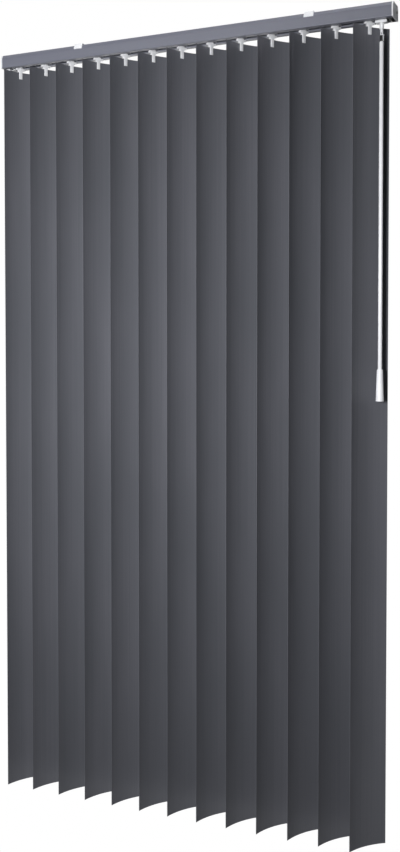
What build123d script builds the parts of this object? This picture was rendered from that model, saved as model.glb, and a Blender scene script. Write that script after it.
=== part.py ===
from build123d import *
import math
import os

# Vertical blind with a one-way left stack, drawn by a twist-and-pull wand.
# Millimetres. +X runs right along the headrail, +Y from the room to the window, +Z up.
# The origin is midway between the two bracket screws, on the ceiling.

os.makedirs("parts", exist_ok=True)

# ---- driving dimensions ----------------------------------------------------------------
slat_count = 13
slat_width = 89.0          # across the chord
slat_crown = 7.0           # rise of the curve over the chord
slat_thickness = 0.8
slat_length = 1650.0
slat_pitch = 68.5          # pivot to pivot with the blind drawn across
slat_angle = 60.0          # chord to rail, as it hangs at rest
last_slat_lag = 9.0        # the last two slats hang a little less turned
next_slat_lag = 4.0
slat_drop = 9.25           # rail underside to slat top
slot_width = 14.0          # punched slot that the hook holds
slot_height = 3.6
slot_depth = 8.0           # slat top to slot top

left_margin = 39.0         # rail's outer end to first pivot
right_margin = 52.5
rail_depth = 42.0
rail_height = 29.0
rail_wall = 1.4
rail_corner = 2.0          # rounding of the bottom corners
shoulder_height = 7.0      # sloping band along the top edges
shoulder_inset = 4.0
rail_slot = 16.0           # open slot in the underside
lip_rib = 3.0              # height of the turned-up edge of each lip
lip_rib_wall = 1.2
top_channel_width = 14.0   # sunk strip that clears the ceiling screws' heads
top_channel_depth = 2.5
catch_depth = 0.8          # outside groove that the bracket claws snap into
catch_height = 1.6

bracket_left_inset = 205.0
bracket_right_inset = 172.5
bracket_width = 20.0
bracket_plate = 1.5
bracket_gap = 1.5          # plate to rail top
bracket_claw = 1.4
bracket_hole_radius = 2.25

cap_thickness = 3.0
cap_overlap = 0.4          # cap stands proud of the rail's outline
cap_rim = 1.8
cap_recess = 1.0
cap_boss_length = 6.0
port_y = 12.5              # screw port inside the rail
port_height = 15.5
port_radius = 3.0
screw_radius = 1.25
screw_clearance = 0.05     # radial, screw in its hole
screw_head_radius = 2.6
screw_head_height = 1.3
screw_length = 14.0

rod_y = -10.3              # tilt rod, in front of the pivots
rod_height = 15.0
rod_radius = 3.0
flute_radius = 0.7
flute_count = 3
bush_wall = 1.2
bush_length = 5.0
run_clearance = 0.1        # radial, shaft in bore
seat_clearance = 0.05      # faces that run on each other

carrier_length = 16.0      # carriers stack 20 apart with the blind drawn back
carrier_front = 16.4       # housing reach to the room side
carrier_back = 7.5         # and to the window side
carrier_floor = 10.6       # underside of the wide upper part
carrier_top = 24.0
carrier_neck_width = 14.4
carrier_neck_floor = 3.4
collar_radius = 6.0
collar_floor = 0.3
shelf_height = 13.0        # the hook's wheel sits here
wheel_height = 4.0
wheel_tip_radius = 5.6
wheel_root_radius = 4.5
wheel_teeth = 15
tooth_width = 1.0
cavity_clearance = 0.5
worm_radius = 4.4
worm_length = 12.0
roller_radius = 3.6
roller_width = 3.4
roller_offset = 4.0
roller_start = 9.6
axle_radius = 1.0

strip_width = 8.0          # spacer strip that sets the pitch
strip_thickness = 0.4
strip_step = 0.6           # each strip lies this much above the one before
strip_levels = 5
strip_floor = 20.0
strip_overrun = 5.0
strip_tail = 3.0
ear_width = 12.0
ear_length = 3.0
groove_width = 9.0

stem_radius = 2.5
stem_top = 19.0
shoulder_length = 22.0     # bar across the top of the hook
shoulder_width = 6.4
shoulder_floor = 4.3
shoulder_top = 0.5
prong_width = 7.8
prong_thickness = 1.8
prong_gap = 0.2            # prong to slat face
prong_length = 15.4        # below the slat top
back_prong_length = 13.6
nub_height = 2.4

wand_offset = 24.8         # last pivot to wand carrier
wand_carrier_length = 20.0
flange_length = 23.0
flange_width = 14.0
flange_floor = 5.0
flange_top = 0.4
neck_radius = 4.4
neck_length = 11.7
eye_drop = 20.2            # rail underside to the wand's pivot
eye_radius = 2.9
eye_thickness = 2.0
pin_radius = 1.5
bail_leg_radius = 1.0
bail_spread = 3.0
swing_heading = 20.0       # the wand swings right, this far round to the room side
sleeve_radius = 3.5
sleeve_drop = 29.3
sleeve_length = 11.3
sleeve_cap = 1.6
spigot_radius = 2.5
clip_thickness = 0.9
clip_width = 2.4
rod_drop = 40.0            # rail underside to the top of the wand's rod
wand_rod_radius = 4.2
wand_rod_length = 677.3
wand_taper = 3.0
grip_length = 64.0
grip_top_radius = 6.1
grip_bottom_radius = 8.3
grip_socket = 28.0

stop_length = 12.5         # black block that closes the right end of the slot
stop_plate = 2.2
stop_width = 25.0
stop_rise = 8.0
stop_screw_y = 5.4
stop_play = 0.2
tongue_length = 23.0       # springy tongue beside the first hook
tongue_width = 10.0
tongue_thickness = 1.2
tongue_bow = 3.2
tongue_clear = 12.6        # first pivot to the tongue's tip
tongue_block = 9.0

# ---- derived places --------------------------------------------------------------------
rail_length = (slat_count - 1) * slat_pitch + left_margin + right_margin
bracket_spacing = rail_length - bracket_left_inset - bracket_right_inset
left_end = -bracket_spacing / 2 - bracket_left_inset
right_end = left_end + rail_length
rail_top = -(bracket_plate + bracket_gap)
rail_floor = rail_top - rail_height
slat_top = rail_floor - slat_drop
pivots = [left_end + left_margin + i * slat_pitch for i in range(slat_count)]
wand_x = pivots[-1] + wand_offset
eye_z = rail_floor - eye_drop
half_depth = rail_depth / 2


# ---- small helpers ---------------------------------------------------------------------
def block(x0, x1, y0, y1, z0, z1):
    """Box between two corners."""
    centre = ((x0 + x1) / 2, (y0 + y1) / 2, (z0 + z1) / 2)
    return Pos(*centre) * Box(x1 - x0, y1 - y0, z1 - z0)


def post(radius, z0, z1, x=0.0, y=0.0):
    """Upright cylinder."""
    return Pos(x, y, (z0 + z1) / 2) * Cylinder(radius, z1 - z0)


def bar_x(radius, x0, x1, y, z):
    """Cylinder along X."""
    return Pos((x0 + x1) / 2, y, z) * Rot(0, 90, 0) * Cylinder(radius, x1 - x0)


def bar_y(radius, y0, y1, x, z):
    """Cylinder along Y."""
    return Pos(x, (y0 + y1) / 2, z) * Rot(90, 0, 0) * Cylinder(radius, y1 - y0)


def along_x(section, x0, x1):
    """Extrude a section drawn in (Y, Z) from x0 to x1."""
    return extrude(Plane(origin=(x0, 0, 0), x_dir=(0, 1, 0), z_dir=(1, 0, 0)) * section, x1 - x0)


def save(name, solids):
    """Write one node; solids is one solid or a list of them."""
    pieces = solids if isinstance(solids, list) else [solids]
    bodies = [solid for piece in pieces for solid in piece.solids()]
    whole = bodies[0] if len(bodies) == 1 else Compound(children=bodies)
    whole.label = name
    export_step(whole, f"parts/{name}.step")


# ---- slats -----------------------------------------------------------------------------
def make_slat():
    """Curved strip hanging at the origin, its middle on the pivot, hollow side to -Y."""
    half = slat_width / 2
    radius = (half ** 2 + slat_crown ** 2) / (2 * slat_crown)
    reach = math.asin(half / radius)
    outer = radius + slat_thickness / 2
    inner = radius - slat_thickness / 2

    def on_arc(distance, angle):
        return (distance * math.sin(angle), distance * math.cos(angle) - radius)

    back = ThreePointArc(on_arc(outer, -reach), on_arc(outer, 0), on_arc(outer, reach))
    front = ThreePointArc(on_arc(inner, -reach), on_arc(inner, 0), on_arc(inner, reach))
    ends = [Line(back @ 0, front @ 0), Line(back @ 1, front @ 1)]
    section = make_face([back, front] + ends)
    slat = Pos(0, 0, slat_top - slat_length) * extrude(section, slat_length)
    slot_z = slat_top - slot_depth - slot_height / 2
    straight = (slot_width - slot_height) / 2
    reach_y = slat_crown
    half_slot = slot_height / 2
    slot = block(-straight, straight, -reach_y, reach_y, slot_z - half_slot, slot_z + half_slot)
    for side in (-1, 1):
        slot += bar_y(half_slot, -reach_y, reach_y, side * straight, slot_z)
    return slat - slot


# ---- hooks -----------------------------------------------------------------------------
def make_wheel(z0):
    """Toothed wheel on an upright stem."""
    z1 = z0 + wheel_height
    wheel = post(wheel_root_radius, z0, z1)
    tooth = block(0, wheel_tip_radius, -tooth_width / 2, tooth_width / 2, z0, z1)
    tooth &= post(wheel_tip_radius, z0, z1)
    for i in range(wheel_teeth):
        wheel += Rot(0, 0, i * 360 / wheel_teeth) * tooth
    return wheel


def make_hook():
    """Stem, wheel, shoulder bar and two prongs, moulded in one piece, at the origin."""
    wheel_z = rail_floor + shelf_height + seat_clearance
    bar_top = rail_floor - shoulder_top
    bar_floor = rail_floor - shoulder_floor
    half_bar = shoulder_length / 2
    half_prong = prong_width / 2
    face = slat_thickness / 2 + prong_gap
    hook = post(stem_radius, bar_top, rail_floor + stem_top)
    hook += make_wheel(wheel_z)
    hook += block(-half_bar, half_bar, -shoulder_width / 2, shoulder_width / 2, bar_floor, bar_top)
    outer = face + prong_thickness
    hook += block(-half_prong, half_prong, -outer, -face, slat_top - prong_length, bar_floor)
    hook += block(-half_prong, half_prong, face, outer, slat_top - back_prong_length, bar_floor)
    nub_top = slat_top - slot_depth
    hook += block(-half_prong, half_prong, -face, face - prong_gap / 2, nub_top - nub_height, nub_top)
    return hook


# ---- carriers --------------------------------------------------------------------------
def housing_with_cavities(length):
    """Carrier housing at the origin, hollowed for wheel, worm, rod and spacer strips."""
    half = length / 2
    floor = rail_floor + carrier_floor
    top = rail_floor + carrier_top
    neck_floor = rail_floor + carrier_neck_floor
    shelf = rail_floor + shelf_height
    rod_z = rail_floor + rod_height
    half_neck = carrier_neck_width / 2
    housing = block(-half, half, -carrier_front, carrier_back, floor, top)
    housing += block(-half, half, -half_neck, half_neck, neck_floor, floor)
    housing += post(collar_radius, rail_floor + collar_floor, neck_floor)
    bore_top = rail_floor + stem_top + cavity_clearance
    housing -= post(stem_radius + run_clearance, rail_floor + collar_floor, bore_top)
    housing -= post(wheel_tip_radius + cavity_clearance, shelf, shelf + wheel_height + cavity_clearance)
    half_worm = worm_length / 2 + cavity_clearance
    housing -= bar_x(worm_radius + cavity_clearance, -half_worm, half_worm, rod_y, rod_z)
    housing -= bar_x(rod_radius + 2 * run_clearance, -half, half, rod_y, rod_z)
    groove_floor = rail_floor + strip_floor - seat_clearance
    housing -= block(-half, half, -groove_width / 2, groove_width / 2, groove_floor, top)
    for side in (-1, 1):
        for x in (-roller_offset, roller_offset):
            reach = roller_start + roller_width + cavity_clearance
            ends = sorted((side * half_neck, side * reach))
            housing += bar_y(axle_radius, *ends, x, roller_z())
    return housing


def roller_z():
    """Height of the roller axles, with the rollers on the lips."""
    return rail_floor + rail_wall + roller_radius + seat_clearance


def make_rollers():
    """Four rollers that run on the rail's lips."""
    rollers = []
    for side in (-1, 1):
        ends = sorted((side * roller_start, side * (roller_start + roller_width)))
        for x in (-roller_offset, roller_offset):
            roller = bar_y(roller_radius, *ends, x, roller_z())
            rollers.append(roller - bar_y(axle_radius + run_clearance, *ends, x, roller_z()))
    return rollers


def make_worm():
    """Worm that rides on the tilt rod inside a carrier."""
    rod_z = rail_floor + rod_height
    worm = bar_x(worm_radius, -worm_length / 2, worm_length / 2, rod_y, rod_z)
    return worm - bar_x(rod_radius + run_clearance, -worm_length / 2, worm_length / 2, rod_y, rod_z)


def strip_z(index):
    """Underside of a carrier's spacer strip."""
    return rail_floor + strip_floor + strip_step * (index % strip_levels)


def make_strip(index, reach):
    """Spacer strip from this carrier to the next, held by its two ears."""
    z0 = strip_z(index)
    z1 = z0 + strip_thickness
    strip = block(-strip_tail, reach + strip_overrun, -strip_width / 2, strip_width / 2, z0, z1)
    return strip + block(-ear_length / 2, ear_length / 2, -ear_width / 2, ear_width / 2, z0, z1)


def make_carrier(housing, extras, index, reach):
    """One carrier's solids at the origin: housing, rollers, worm and spacer strip."""
    z0 = strip_z(index)
    z1 = z0 + strip_thickness + seat_clearance
    half_ear = ear_length / 2 + seat_clearance
    pocket_y = ear_width / 2 + seat_clearance
    pocket = block(-half_ear, half_ear, -pocket_y, pocket_y, z0, z1)
    return [housing - pocket] + extras + [make_strip(index, reach)]


# ---- headrail --------------------------------------------------------------------------
def rail_outline(grow=0.0):
    """Outer outline of the rail in (Y, Z): sloping shoulders, rounded bottom corners."""
    y = half_depth + grow
    top = rail_top + grow
    knee = rail_top - shoulder_height
    inset = half_depth - shoulder_inset + grow
    bottom = rail_floor - grow
    points = [(-y, bottom), (y, bottom), (y, knee), (inset, top), (-inset, top), (-y, knee)]
    outline = make_face(Polyline(*points, close=True))
    return fillet(outline.vertices().sort_by(Axis.Y)[:2], rail_corner + grow)


def make_rail():
    """Extruded rail: walls, lips with turned-up edges, sunk top channel and screw port."""
    x0 = left_end + cap_thickness
    x1 = right_end - cap_thickness
    half_slot = rail_slot / 2
    half_channel = top_channel_width / 2
    section = rail_outline()
    knee = rail_top - shoulder_height
    inner_y = half_depth - rail_wall
    inner_top = rail_top - rail_wall
    inner_inset = half_depth - shoulder_inset - rail_wall
    under_channel = rail_top - top_channel_depth - rail_wall
    half_under = half_channel + rail_wall
    inside = [(-inner_y, rail_floor + rail_wall), (inner_y, rail_floor + rail_wall), (inner_y, knee),
              (inner_inset, inner_top), (half_under, inner_top), (half_under, under_channel),
              (-half_under, under_channel), (-half_under, inner_top), (-inner_inset, inner_top),
              (-inner_y, knee)]
    section -= make_face(Polyline(*inside, close=True))
    section -= Pos(0, rail_top - top_channel_depth / 2) * Rectangle(top_channel_width, top_channel_depth)
    section -= Pos(0, rail_floor + rail_wall / 2) * Rectangle(rail_slot, rail_wall)
    catch_z = knee - catch_height / 2
    for side in (-1, 1):
        rib_y = side * (half_slot + lip_rib_wall / 2)
        section += Pos(rib_y, rail_floor + lip_rib / 2) * Rectangle(lip_rib_wall, lip_rib)
        groove_y = side * (half_depth - catch_depth / 2)
        backing_y = side * (inner_y - catch_depth / 2)
        section += Pos(backing_y, catch_z) * Rectangle(catch_depth, catch_height + 2 * rail_wall)
        section -= Pos(groove_y, catch_z) * Rectangle(catch_depth, catch_height)
    port_z = rail_floor + port_height
    section += Pos((port_y + inner_y) / 2, port_z) * Rectangle(inner_y - port_y, rail_wall)
    section += Pos(port_y, port_z) * Circle(port_radius)
    section -= Pos(port_y, port_z) * Circle(screw_radius + screw_clearance)
    return along_x(section, x0, x1)


def make_end_cap(side):
    """End cap with a raised rim, a boss for the rod's bush and a screw hole."""
    outer = left_end if side < 0 else right_end
    inner = outer - side * cap_thickness
    face = outer - side * cap_recess
    boss = inner - side * cap_boss_length
    rod_z = rail_floor + rod_height
    bush_radius = rod_radius + run_clearance + bush_wall
    cap = along_x(rail_outline(cap_overlap), *sorted((inner, outer)))
    cap -= along_x(offset(rail_outline(cap_overlap), -cap_rim), *sorted((face, outer)))
    cap += bar_x(bush_radius + bush_wall, *sorted((boss, inner)), rod_y, rod_z)
    cap -= bar_x(bush_radius, *sorted((boss, inner)), rod_y, rod_z)
    cap -= bar_x(screw_radius + screw_clearance, *sorted((inner, face)), port_y, rail_floor + port_height)
    return cap


def make_bush(side):
    """Bush in an end cap that carries the tilt rod."""
    inner = (left_end if side < 0 else right_end) - side * cap_thickness
    tip = inner - side * bush_length
    rod_z = rail_floor + rod_height
    bush = bar_x(rod_radius + run_clearance + bush_wall, *sorted((inner, tip)), rod_y, rod_z)
    return bush - bar_x(rod_radius + run_clearance, *sorted((inner, tip)), rod_y, rod_z)


def make_cap_screw(side):
    """Screw through an end cap into the rail's port."""
    face = (left_end if side < 0 else right_end) - side * cap_recess
    head = face + side * screw_head_height
    tip = face - side * screw_length
    z = rail_floor + port_height
    screw = bar_x(screw_head_radius, *sorted((face, head)), port_y, z)
    return screw + bar_x(screw_radius, *sorted((tip, face)), port_y, z)


def make_rod():
    """Fluted tilt rod, from bush to bush."""
    x0 = left_end + cap_thickness + seat_clearance
    x1 = right_end - cap_thickness - seat_clearance
    section = Circle(rod_radius)
    for i in range(flute_count):
        angle = math.radians(90 + i * 360 / flute_count)
        section -= Pos(rod_radius * math.cos(angle), rod_radius * math.sin(angle)) * Circle(flute_radius)
    return along_x(Pos(rod_y, rail_floor + rod_height) * section, x0, x1)


def make_bracket(x):
    """Ceiling bracket: plate with a screw hole and a claw over each shoulder."""
    half = bracket_width / 2
    knee = rail_top - shoulder_height
    inset = half_depth - shoulder_inset
    claw_floor = knee - catch_height + seat_clearance
    reach = half_depth + bracket_claw
    hook_top = knee - seat_clearance
    hook_y = half_depth - catch_depth + seat_clearance
    right = [(inset, -bracket_plate), (inset, rail_top), (half_depth, knee), (half_depth, hook_top),
             (hook_y, hook_top), (hook_y, claw_floor), (reach, claw_floor), (reach, knee),
             (inset + bracket_claw, 0)]
    left = [(-y, z) for y, z in reversed(right)]
    bracket = along_x(make_face(Polyline(*right, *left, close=True)), x - half, x + half)
    return bracket - post(bracket_hole_radius, -bracket_plate, 0, x)


def make_stop():
    """Block that closes the right end of the slot, with two screw holes."""
    x1 = right_end - cap_thickness - stop_play
    x0 = x1 - stop_length
    inner = rail_floor + rail_wall
    half_slot = rail_slot / 2 - stop_play
    half = stop_width / 2
    stop = block(x0, x1, -half, half, rail_floor - stop_plate, rail_floor)
    stop += block(x0, x1, -half_slot, half_slot, rail_floor, inner + stop_rise)
    for side in (-1, 1):
        hole = screw_radius + screw_clearance
        stop -= post(hole, rail_floor - stop_plate, inner + stop_rise, (x0 + x1) / 2, side * stop_screw_y)
    return stop


def make_stop_screws():
    """Two pan-head screws that clamp the end block."""
    x = right_end - cap_thickness - stop_play - stop_length / 2
    head = rail_floor - stop_plate
    screws = []
    for side in (-1, 1):
        y = side * stop_screw_y
        screw = post(screw_head_radius, head - screw_head_height, head, x, y)
        screws.append(screw + post(screw_radius, head, rail_floor + rail_wall + stop_rise, x, y))
    return screws


def make_tongue():
    """Springy bowed tongue that holds the fixed carrier, with its block in the slot."""
    tip = pivots[0] - tongue_clear
    root = tip - tongue_length
    middle = (tip + root) / 2
    half_slot = rail_slot / 2 - stop_play
    bow = ThreePointArc((root, rail_floor), (middle, rail_floor - tongue_bow), (tip, rail_floor))
    under = rail_floor - tongue_thickness
    low = ThreePointArc((root, under), (middle, under - tongue_bow), (tip, under))
    section = make_face([bow, low, Line(bow @ 0, low @ 0), Line(bow @ 1, low @ 1)])
    half = tongue_width / 2
    leaf = extrude(Plane(origin=(0, half, 0), x_dir=(1, 0, 0), z_dir=(0, -1, 0)) * section, tongue_width)
    foot = block(root, root + tongue_block, -half, half, under, rail_floor)
    block_top = rail_floor + rail_wall + stop_rise
    base = block(root, root + tongue_block, -half_slot, half_slot, rail_floor, block_top)
    return leaf + foot + base


# ---- wand ------------------------------------------------------------------------------
def make_wand_carrier(housing):
    """Lead carrier: the same housing, longer, with a flange and a neck under the rail."""
    floor = rail_floor - flange_floor
    body = housing + block(-flange_length / 2, flange_length / 2, -flange_width / 2, flange_width / 2,
                           floor, rail_floor - flange_top)
    body += post(collar_radius, rail_floor - flange_top, rail_floor + collar_floor)
    body += post(neck_radius, floor - neck_length, floor)
    return body - post(stem_radius + run_clearance, floor - neck_length, rail_floor + shelf_height)


def make_tilter():
    """Spindle that the wand twists: wheel at the top, flat eye at the foot."""
    wheel_z = rail_floor + shelf_height + seat_clearance
    half = eye_thickness / 2
    tilter = post(stem_radius, eye_z + eye_radius, rail_floor + stem_top) + make_wheel(wheel_z)
    blade = eye_radius - cavity_clearance
    tilter += block(-blade, blade, -half, half, eye_z, eye_z + eye_radius)
    tilter += bar_y(eye_radius, -half, half, 0, eye_z)
    return tilter - bar_y(pin_radius + run_clearance, -half, half, 0, eye_z)


def make_wand_hook():
    """Bail through the spindle's eye, with a clip arm down the sleeve."""
    sleeve_top = rail_floor - sleeve_drop
    sleeve_foot = sleeve_top - sleeve_length
    arm_x = sleeve_radius + run_clearance
    bail = bar_y(pin_radius, -bail_spread, bail_spread, 0, eye_z)
    for side in (-1, 1):
        bail += post(bail_leg_radius, sleeve_top, eye_z, 0, side * bail_spread)
        bail += Pos(0, side * bail_spread, eye_z) * Sphere(pin_radius)
    bridge_top = sleeve_top + sleeve_cap
    arm_end = arm_x + clip_thickness
    bail += block(-bail_leg_radius, arm_end, -bail_spread, bail_spread, sleeve_top, bridge_top)
    half = clip_width / 2
    return bail + block(arm_x, arm_end, -half, half, sleeve_foot, bridge_top)


def make_sleeve():
    """Black sleeve that takes the top of the wand's rod."""
    top = rail_floor - sleeve_drop
    foot = top - sleeve_length
    return post(sleeve_radius, foot, top) - post(spigot_radius + run_clearance, foot, top - sleeve_cap)


def make_wand_rod():
    """Round rod with a tapered head and a spigot in the sleeve."""
    top = rail_floor - rod_drop
    sleeve_foot = rail_floor - sleeve_drop - sleeve_length
    spigot_top = rail_floor - sleeve_drop - sleeve_cap
    shoulder = sleeve_foot - wand_taper
    rod = post(wand_rod_radius, top - wand_rod_length, shoulder)
    rod += Pos(0, 0, (shoulder + sleeve_foot) / 2) * Cone(wand_rod_radius, spigot_radius, wand_taper)
    return rod + post(spigot_radius, sleeve_foot, spigot_top)


def make_grip():
    """Tapered hand grip pushed on the rod's foot."""
    rod_foot = rail_floor - rod_drop - wand_rod_length
    top = rod_foot + grip_socket
    grip = Pos(0, 0, top - grip_length / 2) * Cone(grip_bottom_radius, grip_top_radius, grip_length)
    return grip - post(wand_rod_radius + run_clearance, rod_foot, top)


# ---- assembly --------------------------------------------------------------------------
save("headrail", make_rail())
save("end_cap_left", make_end_cap(-1))
save("end_cap_right", make_end_cap(1))
save("end_cap_screws", [make_cap_screw(-1), make_cap_screw(1)])
save("rod_bush_left", make_bush(-1))
save("rod_bush_right", make_bush(1))
save("tilt_rod", make_rod())
save("bracket_left", make_bracket(-bracket_spacing / 2))
save("bracket_right", make_bracket(bracket_spacing / 2))
save("end_stop", make_stop())
save("end_stop_screws", make_stop_screws())
save("end_tongue", make_tongue())

slat = make_slat()
hook = make_hook()
housing = housing_with_cavities(carrier_length)
carrier_extras = make_rollers() + [make_worm()]
lags = {slat_count: last_slat_lag, slat_count - 1: next_slat_lag}
for number, pivot in enumerate(pivots, start=1):
    hang = Pos(pivot, 0, 0) * Rot(0, 0, slat_angle - lags.get(number, 0.0))
    reach = slat_pitch if number < slat_count else wand_offset
    carrier = make_carrier(housing, carrier_extras, number, reach)
    save(f"slat_{number:02d}", hang * slat)
    save(f"hook_{number:02d}", hang * hook)
    save(f"carrier_{number:02d}", [Pos(pivot, 0, 0) * solid for solid in carrier])

wand_housing = make_wand_carrier(housing_with_cavities(wand_carrier_length))
at_wand = Pos(wand_x, 0, 0)
swung = at_wand * Rot(0, 0, -swing_heading)
save("wand_carrier", [at_wand * solid for solid in [wand_housing] + carrier_extras])
save("wand_tilter", swung * make_tilter())
save("wand_hook", swung * make_wand_hook())
save("wand_sleeve", swung * make_sleeve())
save("wand_rod", swung * make_wand_rod())
save("wand_grip", swung * make_grip())
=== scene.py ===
# %% [markdown]
# # A vertical blind, piece by piece
#
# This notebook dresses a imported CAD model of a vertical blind: a grey aluminium headrail,
# thirteen curved PVC slats on white hooks, and a white wand. The CAD holds every size and
# every joint. Blender adds what the eye wants: rounded edges, real plastics and metals,
# soft light and a camera.
#
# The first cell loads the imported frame. Each CAD part is one object whose place is in its
# mesh, so a new piece only has to be drawn where the CAD part is.

# %% Load the frame
import bpy
import bmesh
import math
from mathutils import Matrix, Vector


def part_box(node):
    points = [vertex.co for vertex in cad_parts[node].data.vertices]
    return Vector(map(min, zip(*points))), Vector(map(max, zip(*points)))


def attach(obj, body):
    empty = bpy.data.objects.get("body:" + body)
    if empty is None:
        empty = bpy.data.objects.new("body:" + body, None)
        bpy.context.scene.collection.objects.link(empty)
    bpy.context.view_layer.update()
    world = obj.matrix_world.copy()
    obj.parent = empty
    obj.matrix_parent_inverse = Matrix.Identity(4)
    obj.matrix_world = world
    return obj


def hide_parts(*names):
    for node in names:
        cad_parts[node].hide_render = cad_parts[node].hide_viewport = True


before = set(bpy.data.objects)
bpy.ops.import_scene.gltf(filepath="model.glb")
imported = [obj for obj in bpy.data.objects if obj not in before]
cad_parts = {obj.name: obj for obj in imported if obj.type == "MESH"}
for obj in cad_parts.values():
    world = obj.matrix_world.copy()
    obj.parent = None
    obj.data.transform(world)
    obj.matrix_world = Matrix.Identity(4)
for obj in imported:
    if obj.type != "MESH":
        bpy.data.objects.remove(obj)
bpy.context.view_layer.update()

# %% [markdown]
# ## Measures
#
# Blender works in metres and a blind maker in millimetres, so one small factor turns the
# maker's numbers into Blender's. The places of the hooks are read from the frame: the
# middle of a hook's box lies on the line that it turns about.

# %% Units and places
MM = 0.001
SLAT_COUNT = 13
SLAT_WIDTH = 89 * MM
SLAT_CROWN = 7 * MM
SLAT_THICKNESS = 0.8 * MM
SLAT_ANGLE = math.radians(60)
SLAT_LAG = {SLAT_COUNT: math.radians(9), SLAT_COUNT - 1: math.radians(4)}
SLOT_WIDTH = 7.4 * MM
SLOT_HEIGHT = 3.6 * MM
SLOT_DEPTH = 8 * MM


def numbered(name, number):
    """Name of one of the repeated nodes, such as slat_07."""
    return f"{name}_{number:02d}"


def hang_angle(number):
    """Turn of a slat from the rail; the last two hang a little less turned."""
    return SLAT_ANGLE - SLAT_LAG.get(number, 0.0)


def middle_of(node):
    """Centre of a CAD node's box."""
    low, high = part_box(node)
    return (Vector(low) + Vector(high)) / 2


slat_low, slat_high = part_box("slat_01")
RAIL_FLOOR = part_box("headrail")[0][2]
SLAT_TOP = slat_high[2]
SLAT_FOOT = slat_low[2]
PIVOTS = [middle_of(numbered("hook", n)).x for n in range(1, SLAT_COUNT + 1)]
WAND_X = middle_of("wand_rod").x
print("first and last pivot:", round(PIVOTS[0], 4), round(PIVOTS[-1], 4))
print("wand:", round(WAND_X, 4))

# %% [markdown]
# ## Modelling helpers
#
# Operators act on whatever is selected, and loading the frame leaves all its parts selected.
# So every piece starts by clearing the selection. Modifiers are applied as soon as they are
# set, which keeps a finished piece a plain mesh.

# %% Select and apply
def only(*objects):
    """Select just these objects, the last one active."""
    bpy.ops.object.select_all(action="DESELECT")
    for piece in objects:
        piece.select_set(True)
    bpy.context.view_layer.objects.active = objects[-1]


def apply_modifier(piece, kind, **settings):
    """Add a modifier, set it and apply it."""
    only(piece)
    bpy.ops.object.modifier_add(type=kind)
    modifier = piece.modifiers[-1]
    for key, value in settings.items():
        setattr(modifier, key, value)
    bpy.ops.object.modifier_apply(modifier=modifier.name)


def bevel(piece, width, segments=3, angle=30):
    """Round every edge sharper than an angle."""
    apply_modifier(piece, "BEVEL", width=width, segments=segments, limit_method="ANGLE",
                   angle_limit=math.radians(angle), harden_normals=False)


def smooth(piece, angle=35):
    """Smooth shading, with edges sharper than an angle kept crisp."""
    only(piece)
    bpy.ops.object.shade_smooth_by_angle(angle=math.radians(angle))


def settle(piece):
    """Apply place, turn and scale, so that the object sits at the origin."""
    only(piece)
    bpy.ops.object.transform_apply(location=True, rotation=True, scale=True)


# %% Add and join
def add_block(low, high):
    """A cuboid between two corners, given in metres."""
    low, high = Vector(low), Vector(high)
    bpy.ops.object.select_all(action="DESELECT")
    bpy.ops.mesh.primitive_cube_add(size=1, location=(low + high) / 2)
    piece = bpy.context.object
    piece.scale = high - low
    settle(piece)
    return piece


def add_post(radius, low, high, x=0.0, y=0.0, sides=40):
    """An upright cylinder from one height to another."""
    bpy.ops.object.select_all(action="DESELECT")
    bpy.ops.mesh.primitive_cylinder_add(vertices=sides, radius=radius, depth=high - low,
                                        location=(x, y, (low + high) / 2))
    piece = bpy.context.object
    settle(piece)
    return piece


def fuse(base, *others, operation="UNION"):
    """Join pieces into one skin, or cut them out of the first."""
    for other in others:
        apply_modifier(base, "BOOLEAN", operation=operation, object=other, solver="EXACT")
        only(other)
        bpy.ops.object.delete()


# %% Copy a piece and hand it to the frame
def copy_to(model, name, x, turn):
    """A copy with its own mesh, turned about the pivot and moved along the rail."""
    only(model)
    bpy.ops.object.duplicate(linked=False)
    piece = bpy.context.object
    piece.name = name
    piece.rotation_euler = (0, 0, turn)
    piece.location = (x, 0, 0)
    settle(piece)
    return piece


def finish_piece(piece, material, body, slot_name, *nodes):
    """Give a piece its material and its body, and hide the CAD nodes that it stands for."""
    piece.data.materials.clear()
    piece.data.materials.append(material)
    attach(piece, body)
    if nodes:
        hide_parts(*nodes)
    print(piece.name, "has", len(piece.data.polygons), "faces and rides on", body)


# %% [markdown]
# ## Material helpers
#
# A shader is a small graph. One function turns a hex colour into the linear numbers that
# the shader wants, and one adds a node with its settings and links.

# %% Helpers for materials
NOISE_LOW = 0.3            # nearly all of a noise's values lie between these two
NOISE_HIGH = 0.7


def colour(code):
    """sRGB hex to linear RGBA."""
    channels = [int(code[i:i + 2], 16) / 255 for i in (1, 3, 5)]
    linear = [c / 12.92 if c <= 0.04045 else ((c + 0.055) / 1.055) ** 2.4 for c in channels]
    return (*linear, 1.0)


def add_node(tree, kind, inputs=(), **settings):
    """A node with its settings; inputs maps a socket to a value or to another socket."""
    node = tree.nodes.new(kind)
    for key, value in settings.items():
        setattr(node, key, value)
    for key, value in dict(inputs).items():
        if isinstance(value, bpy.types.NodeSocket):
            tree.links.new(value, node.inputs[key])
        else:
            node.inputs[key].default_value = value
    return node


def new_material(name, **values):
    """A material with one Principled shader, and the shader's graph."""
    material = bpy.data.materials.new(name)
    material.use_nodes = True
    tree = material.node_tree
    shader = tree.nodes["Principled BSDF"]
    for key, value in values.items():
        shader.inputs[key.replace("_", " ")].default_value = value
    return material, tree, shader


def two_tone(tree, factor, dark, light):
    """A colour between two hex colours."""
    mix = add_node(tree, "ShaderNodeMix", data_type="RGBA")
    mix.inputs[6].default_value = colour(dark)
    mix.inputs[7].default_value = colour(light)
    tree.links.new(factor, mix.inputs[0])
    return mix.outputs[2]


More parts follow.
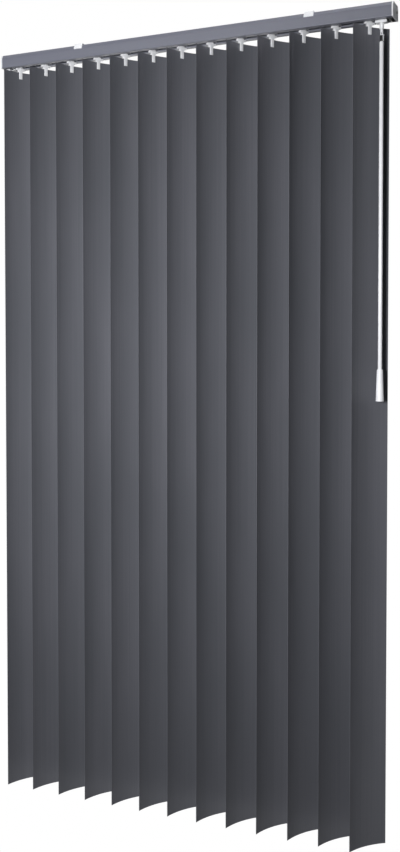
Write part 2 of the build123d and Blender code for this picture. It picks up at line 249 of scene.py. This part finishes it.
def stretched_noise(tree, size, detail=3.0, stretch=(1, 1, 1)):
    """Noise on object coordinates with patches of one size, longer where stretch is small."""
    place = add_node(tree, "ShaderNodeTexCoord")
    mapping = add_node(tree, "ShaderNodeMapping",
                       {"Vector": place.outputs["Object"], "Scale": stretch})
    noise = add_node(tree, "ShaderNodeTexNoise",
                     {"Vector": mapping.outputs["Vector"], "Scale": 1 / size, "Detail": detail})
    return noise.outputs["Fac"]


def bump(tree, shader, height, strength, depth):
    """Bump on a shader's normal, its depth in metres."""
    node = add_node(tree, "ShaderNodeBump",
                    {"Height": height, "Strength": strength, "Distance": depth})
    tree.links.new(node.outputs["Normal"], shader.inputs["Normal"])


def remap(tree, value, low, high, to_low, to_high):
    """Stretch part of a value's range to another range."""
    node = add_node(tree, "ShaderNodeMapRange",
                    {"Value": value, "From Min": low, "From Max": high,
                     "To Min": to_low, "To Max": to_high})
    return node.outputs["Result"]


# %% [markdown]
# ## The materials
#
# - **Slats**: rigid PVC, extruded through a die. The die leaves faint lines along the
#   length, so the noise is stretched along Z. Anthracite pigment, satin skin, IOR 1.54.
# - **Headrail**: extruded aluminium with a slate-grey powder coat. A powder coat is paint
#   baked from grains, so it has a fine orange-peel bump.
# - **Hooks and carriers**: moulded acetal, slightly waxy.
# - **Wand**: glossy white PVC, rod and grip alike.
# - **Small parts**: ABS caps, polycarbonate brackets, a black nylon stop, a rubber sleeve,
#   zinc-plated screws and an extruded aluminium rod.

# %% Sizes of the patterns
DIE_LINE = 2.38 * MM       # real die lines are finer; these are coarse enough to show
SLAT_CLOUD = 111 * MM
COAT_PEEL = 0.625 * MM
DRAW_LINE = 16.7 * MM      # broad bands along the rail, in place of its fine scratches
MOULD_CLOUD = 18.2 * MM
MOULD_GRAIN = 1.43 * MM    # a mould's texture, drawn coarser than it is
RUBBER_GRAIN = 0.833 * MM
PVC_RIPPLE = 2.5 * MM
METAL_GRAIN = 1.11 * MM
print("patterns from", COAT_PEEL / MM, "to", SLAT_CLOUD / MM, "mm")


# %% Slats and rail
def slat_pvc():
    """Anthracite extruded PVC: satin, with faint lines from the die along its length."""
    material, tree, shader = new_material("anthracite_extruded_pvc", Roughness=0.46, IOR=1.54)
    lines = stretched_noise(tree, DIE_LINE, 4.0, (1, 1, 0.004))
    clouds = stretched_noise(tree, SLAT_CLOUD, 2.0, (1, 1, 0.25))
    tone = add_node(tree, "ShaderNodeMath", {0: lines, 1: clouds}, operation="MULTIPLY")
    factor = remap(tree, tone.outputs[0], 0.12, 0.42, 0.0, 1.0)
    tree.links.new(two_tone(tree, factor, "#56585e", "#5f6067"), shader.inputs["Base Color"])
    sheen = remap(tree, clouds, NOISE_LOW, NOISE_HIGH, 0.42, 0.52)
    tree.links.new(sheen, shader.inputs["Roughness"])
    bump(tree, shader, lines, 0.25, 0.0002)
    return material


def powder_coat():
    """Slate-grey powder coat on aluminium: baked paint with a fine orange peel."""
    material, tree, shader = new_material("slate_powder_coat", Roughness=0.42, IOR=1.5)
    shader.inputs["Coat Weight"].default_value = 0.15
    shader.inputs["Coat Roughness"].default_value = 0.25
    peel = stretched_noise(tree, COAT_PEEL, 2.0)
    draw = stretched_noise(tree, DRAW_LINE, 3.0, (0.02, 1, 1))
    tone = remap(tree, draw, NOISE_LOW, NOISE_HIGH, 0, 1)
    tree.links.new(two_tone(tree, tone, "#6a6c79", "#73757f"), shader.inputs["Base Color"])
    bump(tree, shader, peel, 0.18, 0.0001)
    return material


# %% Plastics and small metals
def moulded(name, dark, light, roughness, grain=MOULD_GRAIN, strength=0.12, ior=1.48):
    """Moulded plastic: two close tones and the faint texture of the mould."""
    material, tree, shader = new_material(name, IOR=ior)
    clouds = stretched_noise(tree, MOULD_CLOUD, 3.0)
    texture = stretched_noise(tree, grain, 2.0)
    tone = remap(tree, clouds, NOISE_LOW, NOISE_HIGH, 0, 1)
    tree.links.new(two_tone(tree, tone, dark, light), shader.inputs["Base Color"])
    wear = remap(tree, texture, NOISE_LOW, NOISE_HIGH, roughness - 0.05, roughness + 0.06)
    tree.links.new(wear, shader.inputs["Roughness"])
    bump(tree, shader, texture, strength, 0.0001)
    return material


def drawn_metal(name, dark, light, roughness, along):
    """Bare metal drawn or turned along one axis."""
    material, tree, shader = new_material(name, Metallic=1.0)
    grain = stretched_noise(tree, METAL_GRAIN, 3.0, along)
    tone = remap(tree, grain, NOISE_LOW, NOISE_HIGH, 0, 1)
    tree.links.new(two_tone(tree, tone, dark, light), shader.inputs["Base Color"])
    wear = remap(tree, grain, NOISE_LOW, NOISE_HIGH, roughness - 0.08, roughness + 0.08)
    tree.links.new(wear, shader.inputs["Roughness"])
    bump(tree, shader, grain, 0.2, 0.00005)
    return material


# %% Mix the materials
SLAT = slat_pvc()
RAIL = powder_coat()
HOOK = moulded("white_acetal", "#d6d7db", "#e6e7ea", 0.38)
CARRIER = moulded("natural_acetal", "#dcdde0", "#e8e9ec", 0.42)
CAP = moulded("white_abs", "#d9dade", "#e6e7ea", 0.42)
BRACKET = moulded("clear_white_polycarbonate", "#dfe0e4", "#eeeff2", 0.28)
BLACK = moulded("black_nylon", "#101113", "#1b1c1f", 0.5)
RUBBER = moulded("black_rubber_sleeve", "#08080a", "#121315", 0.62,
                grain=RUBBER_GRAIN)
WAND = moulded("gloss_white_pvc", "#e6e7ec", "#f0f1f4", 0.22,
               grain=PVC_RIPPLE, strength=0.05, ior=1.53)
STEEL = drawn_metal("zinc_plated_steel", "#9a9a98", "#c4c4c2", 0.34, (1, 1, 1))
ROD = drawn_metal("extruded_aluminium", "#b6b7ba", "#d2d3d6", 0.36, (0.02, 1, 1))
print("materials:", len([m for m in bpy.data.materials if m.use_nodes]))

# %% [markdown]
# ## Camera, light and floor
#
# The blind is seen from the right, a little above its middle, and looks tall. A camera that
# stays level keeps upright edges upright, so the picture is framed with a small downward
# shift of the lens and almost no tilt. The key light is a softbox straight in front at half
# the blind's height: it grazes the left of each curved slat and meets the right squarely, so
# each slat runs from dark to light. Light straight down from the ceiling misses the upright
# slats, but it brightens the floor, and the floor sends soft light up under the rail. A box
# behind shows the window side and a narrow one picks out the end cap. The dome around the
# scene is faint, because dark slats look dark only if little light comes from the sides.

# %% Camera
CAMERA_PLACE = (0.9244, -2.0321, -0.6925)
CAMERA_TURN = (math.radians(88.27), 0, math.radians(24.0))
LENS_LENGTH = 43.7
LENS_SHIFT = -0.0467

bpy.ops.object.select_all(action="DESELECT")
bpy.ops.object.camera_add(location=CAMERA_PLACE, rotation=CAMERA_TURN)
camera = bpy.context.object
camera.name = "camera"
camera.data.sensor_width = 36
camera.data.sensor_fit = "AUTO"
camera.data.lens = LENS_LENGTH
camera.data.shift_y = LENS_SHIFT
bpy.context.scene.camera = camera
print("camera at", CAMERA_PLACE, "with a lens of", LENS_LENGTH, "mm")


# %% Lights
def add_softbox(name, place, target, width, height, power, spread):
    """A rectangular area light that faces a target; a small spread makes a beam."""
    bpy.ops.object.select_all(action="DESELECT")
    bpy.ops.object.light_add(type="AREA", location=place)
    lamp = bpy.context.object
    lamp.name = name
    lamp.data.shape = "RECTANGLE"
    lamp.data.size = width
    lamp.data.size_y = height
    lamp.data.energy = power
    lamp.data.spread = math.radians(spread)
    lamp.rotation_euler = (Vector(target) - Vector(place)).to_track_quat("-Z", "Y").to_euler()


add_softbox("front_softbox", place=(0.15, -3.0, -0.55), target=(-0.3, 0, -0.6),
            width=0.5, height=0.7, power=17, spread=62)
add_softbox("right_softbox", place=(2.3, -0.5, 0.35), target=(0.46, 0, 0.06),
            width=0.3, height=0.12, power=0.06, spread=6)
add_softbox("back_softbox", place=(-1.4, 2.6, -0.3), target=(0, 0, -0.9),
            width=1.4, height=1.6, power=7, spread=60)

CEILING_STRENGTH = 1.9
CEILING_ANGLE = math.radians(8)
bpy.ops.object.select_all(action="DESELECT")
bpy.ops.object.light_add(type="SUN", location=(0, 0, 2))
ceiling_light = bpy.context.object
ceiling_light.name = "ceiling_light"
ceiling_light.data.energy = CEILING_STRENGTH
ceiling_light.data.angle = CEILING_ANGLE

# %% The dome around the scene
DOME_HORIZON = 0.006
DOME_ZENITH = 0.03
world = bpy.data.worlds.new("studio")
bpy.context.scene.world = world
world.use_nodes = True
sky = world.node_tree
sky.nodes.clear()
heading = add_node(sky, "ShaderNodeTexCoord")
height = add_node(sky, "ShaderNodeSeparateXYZ", {"Vector": heading.outputs["Generated"]})
dome = remap(sky, height.outputs["Z"], 0.0, 1.0, DOME_HORIZON, DOME_ZENITH)
fill = add_node(sky, "ShaderNodeBackground", {"Color": (0.95, 0.96, 1, 1), "Strength": dome})
seen = add_node(sky, "ShaderNodeBackground", {"Color": (1, 1, 1, 1), "Strength": 1.0})
path = add_node(sky, "ShaderNodeLightPath")
mixed = add_node(sky, "ShaderNodeMixShader",
                 {0: path.outputs["Is Camera Ray"], 1: fill.outputs[0], 2: seen.outputs[0]})
add_node(sky, "ShaderNodeOutputWorld", {"Surface": mixed.outputs[0]})
print("dome nodes:", len(sky.nodes))

# %% Floor
FLOOR_PLACE = (0.35, -0.6, -2.4)
FLOOR_RADIUS = 1.85
bpy.ops.object.select_all(action="DESELECT")
bpy.ops.mesh.primitive_circle_add(vertices=96, radius=FLOOR_RADIUS, fill_type="NGON",
                                  location=FLOOR_PLACE)
floor = bpy.context.object
floor.name = "pale_floor"
floor_material, _, floor_shader = new_material("pale_floor", Roughness=0.8)
floor_shader.inputs["Base Color"].default_value = colour("#ededee")
floor.data.materials.append(floor_material)
bpy.context.scene.view_settings.view_transform = "Standard"
bpy.context.scene.view_settings.look = "None"
print("floor radius:", FLOOR_RADIUS, "m at height", FLOOR_PLACE[2])

# %% [markdown]
# ## The slats
#
# A slat is a long strip of PVC with a shallow curve across it, which keeps it straight as a
# steel tape is kept straight. It could be a grid bent by a modifier. Spinning one upright
# edge about the curve's centre gives the true arc with even columns, so that is used here.
# A cut across the columns below the slot keeps the long faces plain, which keeps their
# shading even. The sheet then gets its thickness, a punched slot that the hook's prong hides,
# and slightly rounded edges.

# %% The curve of a slat
SLAT_STEPS = 32
SLAT_EDGE = 0.25 * MM
PUNCH_REACH = 4 * MM
half_width = SLAT_WIDTH / 2
curve_radius = (half_width ** 2 + SLAT_CROWN ** 2) / (2 * SLAT_CROWN)
half_sweep = math.asin(half_width / curve_radius)
edge_place = Vector((-curve_radius * math.sin(half_sweep),
                     curve_radius * (math.cos(half_sweep) - 1), 0))
slat_length = SLAT_TOP - SLAT_FOOT
print("curve radius:", round(curve_radius / MM, 1), "mm")
print("slat length:", round(slat_length / MM, 1), "mm")


# %% Spin and punch one slat
def spin_slat():
    """The curved sheet: one upright edge spun about the curve's centre."""
    bpy.ops.object.select_all(action="DESELECT")
    centre = (edge_place.x + slat_length / 2, edge_place.y, (SLAT_TOP + SLAT_FOOT) / 2)
    bpy.ops.mesh.primitive_plane_add(size=slat_length, location=centre,
                                     rotation=(math.pi / 2, 0, 0))
    sheet = bpy.context.object
    settle(sheet)
    bpy.ops.object.mode_set(mode="EDIT")
    shape = bmesh.from_edit_mesh(sheet.data)
    for vertex in shape.verts:
        vertex.select_set(vertex.co.x > edge_place.x + slat_length / 2)
    bmesh.update_edit_mesh(sheet.data)
    bpy.ops.mesh.delete(type="VERT")
    bpy.ops.mesh.select_all(action="SELECT")
    bpy.ops.mesh.spin(steps=SLAT_STEPS, angle=2 * half_sweep,
                      center=(0, -curve_radius, 0), axis=(0, 0, 1))
    bpy.ops.mesh.select_all(action="SELECT")
    bpy.ops.mesh.remove_doubles(threshold=1e-6)
    bpy.ops.mesh.normals_make_consistent(inside=False)
    bpy.ops.mesh.select_all(action="SELECT")
    bpy.ops.mesh.bisect(plane_co=(0, 0, SLAT_TOP - 2 * SLOT_DEPTH), plane_no=(0, 0, 1))
    bpy.ops.object.mode_set(mode="OBJECT")
    return sheet


def slot_cutter():
    """A stadium-shaped punch through the slat, as the factory's tool makes it."""
    height = SLAT_TOP - SLOT_DEPTH - SLOT_HEIGHT / 2
    straight = (SLOT_WIDTH - SLOT_HEIGHT) / 2
    punch = add_block((-straight, -PUNCH_REACH, height - SLOT_HEIGHT / 2),
                      (straight, PUNCH_REACH, height + SLOT_HEIGHT / 2))
    for side in (-1, 1):
        bpy.ops.object.select_all(action="DESELECT")
        bpy.ops.mesh.primitive_cylinder_add(vertices=24, radius=SLOT_HEIGHT / 2,
                                            depth=2 * PUNCH_REACH,
                                            location=(side * straight, 0, height),
                                            rotation=(math.pi / 2, 0, 0))
        end = bpy.context.object
        settle(end)
        fuse(punch, end)
    return punch


slat_model = spin_slat()
apply_modifier(slat_model, "SOLIDIFY", thickness=SLAT_THICKNESS, offset=0)
fuse(slat_model, slot_cutter(), operation="DIFFERENCE")
bevel(slat_model, SLAT_EDGE, segments=2, angle=60)
smooth(slat_model, 40)
apply_modifier(slat_model, "WEIGHTED_NORMAL", weight=100, keep_sharp=True)
print("slat model faces:", len(slat_model.data.polygons))

# %% Hang the slats
for number, pivot in enumerate(PIVOTS, start=1):
    slat = copy_to(slat_model, numbered("pvc_slat", number), pivot, hang_angle(number))
    finish_piece(slat, SLAT, numbered("vane", number), "slat_pvc", numbered("slat", number))
only(slat_model)
bpy.ops.object.delete()

# %% [markdown]
# ## The hooks
#
# Each hook is one moulding: a bar under the rail, a stem up into the carrier, a long front
# prong, a shorter back prong, and a nub that fits the slat's slot. Blocks are fused and all
# edges rounded in one go, because a mould has a small radius everywhere.

# %% Measures of a hook
STEM_RADIUS = 2.5 * MM
STEM_TOP = RAIL_FLOOR + 19 * MM
BAR_HALF = 11 * MM
BAR_HALF_WIDTH = 3.2 * MM
BAR_TOP = RAIL_FLOOR - 0.5 * MM
BAR_FLOOR = RAIL_FLOOR - 4.3 * MM
PRONG_HALF = 3.9 * MM
PRONG_FACE = 0.6 * MM
PRONG_BACK = 2.4 * MM
PRONG_TIP = SLAT_TOP - 15.4 * MM
BACK_TIP = SLAT_TOP - 13.6 * MM
NUB_TOP = SLAT_TOP - SLOT_DEPTH
NUB_HEIGHT = 2.4 * MM
HOOK_EDGE = 0.45 * MM
THROAT_FLARE = 1.9
NUB_FRONT = PRONG_FACE + 0.2 * MM
NUB_BACK = 0.5 * MM
SINK = 1 * MM              # how far a block reaches into the next, so that they fuse
WEB_SINK = 0.5 * MM
print("hook bar:", round(2 * BAR_HALF / MM, 1), "mm, prong tip at", round(PRONG_TIP, 4), "m")


# %% Webs between bar and prongs
def pick_faces(mesh, test):
    """In edit mode, select only the faces whose centre and normal pass a test."""
    shape = bmesh.from_edit_mesh(mesh)
    for element in (*shape.verts, *shape.edges, *shape.faces):
        element.select = False
    for face in shape.faces:
        if test(face.calc_center_median(), face.normal):
            face.select_set(True)
    bmesh.update_edit_mesh(mesh)


def throat(y_low, y_high):
    """A flared web between bar and prong: wide at the bar, as wide as the prong below."""
    web = add_block((-PRONG_HALF, y_low, SLAT_TOP), (PRONG_HALF, y_high, BAR_FLOOR + WEB_SINK))
    only(web)
    bpy.ops.object.mode_set(mode="EDIT")
    pick_faces(web.data, lambda centre, normal: normal.z > 0.9)
    bpy.ops.transform.resize(value=(THROAT_FLARE, 1, 1), center_override=(0, 0, BAR_FLOOR))
    bpy.ops.object.mode_set(mode="OBJECT")
    return web


# %% A toothed wheel
WHEEL_FLOOR = RAIL_FLOOR + 13.05 * MM
WHEEL_HEIGHT = 4 * MM
WHEEL_TIP = 5.6 * MM
WHEEL_ROOT = 4.5 * MM
WHEEL_TEETH = 15


def toothed_wheel():
    """A small gear: every second column of a post's corners is drawn in to the root."""
    wheel = add_post(WHEEL_TIP, WHEEL_FLOOR, WHEEL_FLOOR + WHEEL_HEIGHT, sides=2 * WHEEL_TEETH)
    only(wheel)
    bpy.ops.object.mode_set(mode="EDIT")
    shape = bmesh.from_edit_mesh(wheel.data)
    for vertex in shape.verts:
        step = round(math.degrees(math.atan2(vertex.co.y, vertex.co.x)) * WHEEL_TEETH / 180)
        vertex.select = step % 2 == 0
    shape.select_flush_mode()
    bmesh.update_edit_mesh(wheel.data)
    shrink = WHEEL_ROOT / WHEEL_TIP
    bpy.ops.transform.resize(value=(shrink, shrink, 1), center_override=(0, 0, 0))
    bpy.ops.object.mode_set(mode="OBJECT")
    return wheel


# %% Model one hook
def model_hook():
    """Bar, stem, webs, prongs and nub in one skin."""
    hook = add_block((-BAR_HALF, -BAR_HALF_WIDTH, BAR_FLOOR),
                     (BAR_HALF, BAR_HALF_WIDTH, BAR_TOP))
    stem = add_post(STEM_RADIUS, BAR_TOP - SINK, STEM_TOP)
    front = add_block((-PRONG_HALF, -PRONG_BACK, PRONG_TIP),
                      (PRONG_HALF, -PRONG_FACE, BAR_FLOOR + SINK))
    back = add_block((-PRONG_HALF, PRONG_FACE, BACK_TIP),
                     (PRONG_HALF, PRONG_BACK, BAR_FLOOR + SINK))
    nub = add_block((-PRONG_HALF + SINK, -NUB_FRONT, NUB_TOP - NUB_HEIGHT),
                    (PRONG_HALF - SINK, NUB_BACK, NUB_TOP))
    webs = [throat(-PRONG_BACK, -PRONG_FACE), throat(PRONG_FACE, PRONG_BACK)]
    fuse(hook, stem, toothed_wheel(), *webs, front, back, nub)
    bevel(hook, HOOK_EDGE, segments=3, angle=40)
    smooth(hook, 50)
    return hook


hook_model = model_hook()
print("hook model faces:", len(hook_model.data.polygons))

# %% Hang the hooks
for number, pivot in enumerate(PIVOTS, start=1):
    hook = copy_to(hook_model, numbered("moulded_hook", number), pivot, hang_angle(number))
    finish_piece(hook, HOOK, numbered("vane", number), "hook_plastic", numbered("hook", number))
only(hook_model)
bpy.ops.object.delete()

# %% [markdown]
# ## The wand
#
# The wand is a plain round rod with a tapered head, pushed into a black sleeve at the top
# and into a hand grip at the foot. Both are turned shapes. A profile could be spun, but a
# post whose top is extruded and scaled in steps gives the same and is easier to read. The
# grip widens downwards, so that a hand finds it, and its foot is rounded.

# %% Measures of the wand
rod_low, rod_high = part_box("wand_rod")
grip_low, grip_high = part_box("wand_grip")
sleeve_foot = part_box("wand_sleeve")[0][2]
ROD_RADIUS = (rod_high[0] - rod_low[0]) / 2
SPIGOT_RADIUS = 2.5 * MM
TAPER = 3 * MM
GRIP_FOOT_RADIUS = (grip_high[0] - grip_low[0]) / 2
GRIP_TOP_RADIUS = 6.15 * MM
GRIP_TOP_DRAW = 0.94
GRIP_SOCKET = 28 * MM
GRIP_FOOT_BAND = 2.2 * MM
GRIP_TOP_BAND = 1.2 * MM
ROD_PLAY = 0.1 * MM
ROD_EDGE = 0.35 * MM
GRIP_EDGE = 0.7 * MM
HEAD_STEP = 0.93           # the rod's head is drawn in a little, then to the spigot
HEAD_SHARE = 0.45
print("wand rod radius:", round(ROD_RADIUS / MM, 2), "mm")


# %% Rod
def raise_top(piece, rise, scale):
    """Extrude the top faces upwards and scale them about the Z axis."""
    only(piece)
    bpy.ops.object.mode_set(mode="EDIT")
    top = max(vertex.co.z for vertex in bmesh.from_edit_mesh(piece.data).verts)
    pick_faces(piece.data, lambda centre, normal: normal.z > 0.9 and centre.z > top - 1e-6)
    bpy.ops.mesh.extrude_region_move(TRANSFORM_OT_translate={"value": (0, 0, rise)})
    middle = Vector((WAND_X, 0, top + rise))
    bpy.ops.transform.resize(value=(scale, scale, 1), center_override=middle)
    bpy.ops.object.mode_set(mode="OBJECT")


rod = add_post(ROD_RADIUS, rod_low[2], sleeve_foot - TAPER, WAND_X, sides=64)
raise_top(rod, TAPER * HEAD_SHARE, HEAD_STEP)
raise_top(rod, TAPER * (1 - HEAD_SHARE), SPIGOT_RADIUS / (ROD_RADIUS * HEAD_STEP))
raise_top(rod, rod_high[2] - sleeve_foot, 1.0)
bevel(rod, ROD_EDGE, segments=3, angle=15)
smooth(rod, 60)
rod.name = "round_rod"
finish_piece(rod, WAND, "wand", "wand_plastic", "wand_rod")

# %% Grip
grip = add_post(GRIP_FOOT_RADIUS, grip_low[2], grip_low[2] + GRIP_FOOT_BAND, WAND_X, sides=64)
grip_rise = grip_high[2] - grip_low[2] - GRIP_FOOT_BAND - GRIP_TOP_BAND
raise_top(grip, grip_rise, GRIP_TOP_RADIUS / GRIP_FOOT_RADIUS)
raise_top(grip, GRIP_TOP_BAND, GRIP_TOP_DRAW)
socket = add_post(ROD_RADIUS + ROD_PLAY, grip_high[2] - GRIP_SOCKET, grip_high[2] + SINK,
                  WAND_X, sides=64)
fuse(grip, socket, operation="DIFFERENCE")
bevel(grip, GRIP_EDGE, segments=4, angle=25)
smooth(grip, 60)
grip.name = "hand_grip"
finish_piece(grip, WAND, "wand", "wand_plastic", "wand_grip")

# %% [markdown]
# ## Small mouldings with softened edges
#
# Caps, brackets, the tongue, the wand's carrier and its hook leave their moulds with small
# radii, and a small radius catches a thin line of light. Their shapes are exact in the CAD,
# so each is copied, its loose triangles are merged, flat areas are dissolved into whole
# faces, and only then are its sharp edges bevelled. A bevel on loose triangles would split.

# %% Copy and round
def rounded_copy(node, name, width, segments=2, angle=35):
    """A CAD node's own shape with its doubles merged and its sharp edges rounded."""
    only(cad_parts[node])
    bpy.ops.object.duplicate(linked=False)
    piece = bpy.context.object
    piece.name = name
    piece.parent = None
    bpy.ops.object.mode_set(mode="EDIT")
    bpy.ops.mesh.select_all(action="SELECT")
    bpy.ops.mesh.remove_doubles(threshold=1e-6)
    bpy.ops.mesh.dissolve_limited(angle_limit=math.radians(1))
    bpy.ops.object.mode_set(mode="OBJECT")
    bevel(piece, width, segments=segments, angle=angle)
    smooth(piece, angle)
    return piece


# %% Round the small mouldings
ROUNDED = [
    ("end_cap_left", "moulded_cap_left", CAP, "rail", "cap_plastic", 0.45),
    ("end_cap_right", "moulded_cap_right", CAP, "rail", "cap_plastic", 0.45),
    ("bracket_left", "clip_bracket_left", BRACKET, "rail", "bracket_plastic", 0.35),
    ("bracket_right", "clip_bracket_right", BRACKET, "rail", "bracket_plastic", 0.35),
    ("end_tongue", "spring_tongue", CAP, "rail", "cap_plastic", 0.3),
    ("end_stop", "nylon_end_stop", BLACK, "rail", "stop_plastic", 0.4),
    ("end_cap_screws", "cap_screws", STEEL, "rail", "screw_steel", 0.3),
    ("end_stop_screws", "stop_screws", STEEL, "rail", "screw_steel", 0.3),
    ("wand_carrier", "lead_carrier", CARRIER, "carriage_13", "carrier_plastic", 0.3),
    ("wand_tilter", "wand_spindle", CARRIER, "wand_tilter", "carrier_plastic", 0.15),
    ("wand_hook", "wand_bail", WAND, "wand", "wand_plastic", 0.2),
    ("wand_sleeve", "rubber_sleeve", RUBBER, "wand", "sleeve_rubber", 0.3),
]
for node, name, finish, body, slot_name, width in ROUNDED:
    finish_piece(rounded_copy(node, name, width * MM), finish, body, slot_name, node)

# %% [markdown]
# ## Finish the CAD parts that keep their own mesh
#
# The rail, its rod and bushes, and the carriers inside it are exact already. They only
# need their real finish, which goes into the object's material slots.

# %% Finishes for the CAD parts
FINISHES = {
    "headrail": RAIL, "rod_bush_left": BLACK, "rod_bush_right": BLACK, "tilt_rod": ROD,
}
for number in range(1, SLAT_COUNT + 1):
    FINISHES[numbered("carrier", number)] = CARRIER
for node, finish in FINISHES.items():
    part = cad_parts[node]
    part.data.materials.clear()
    part.data.materials.append(finish)
print("CAD parts with a finish:", len(FINISHES))
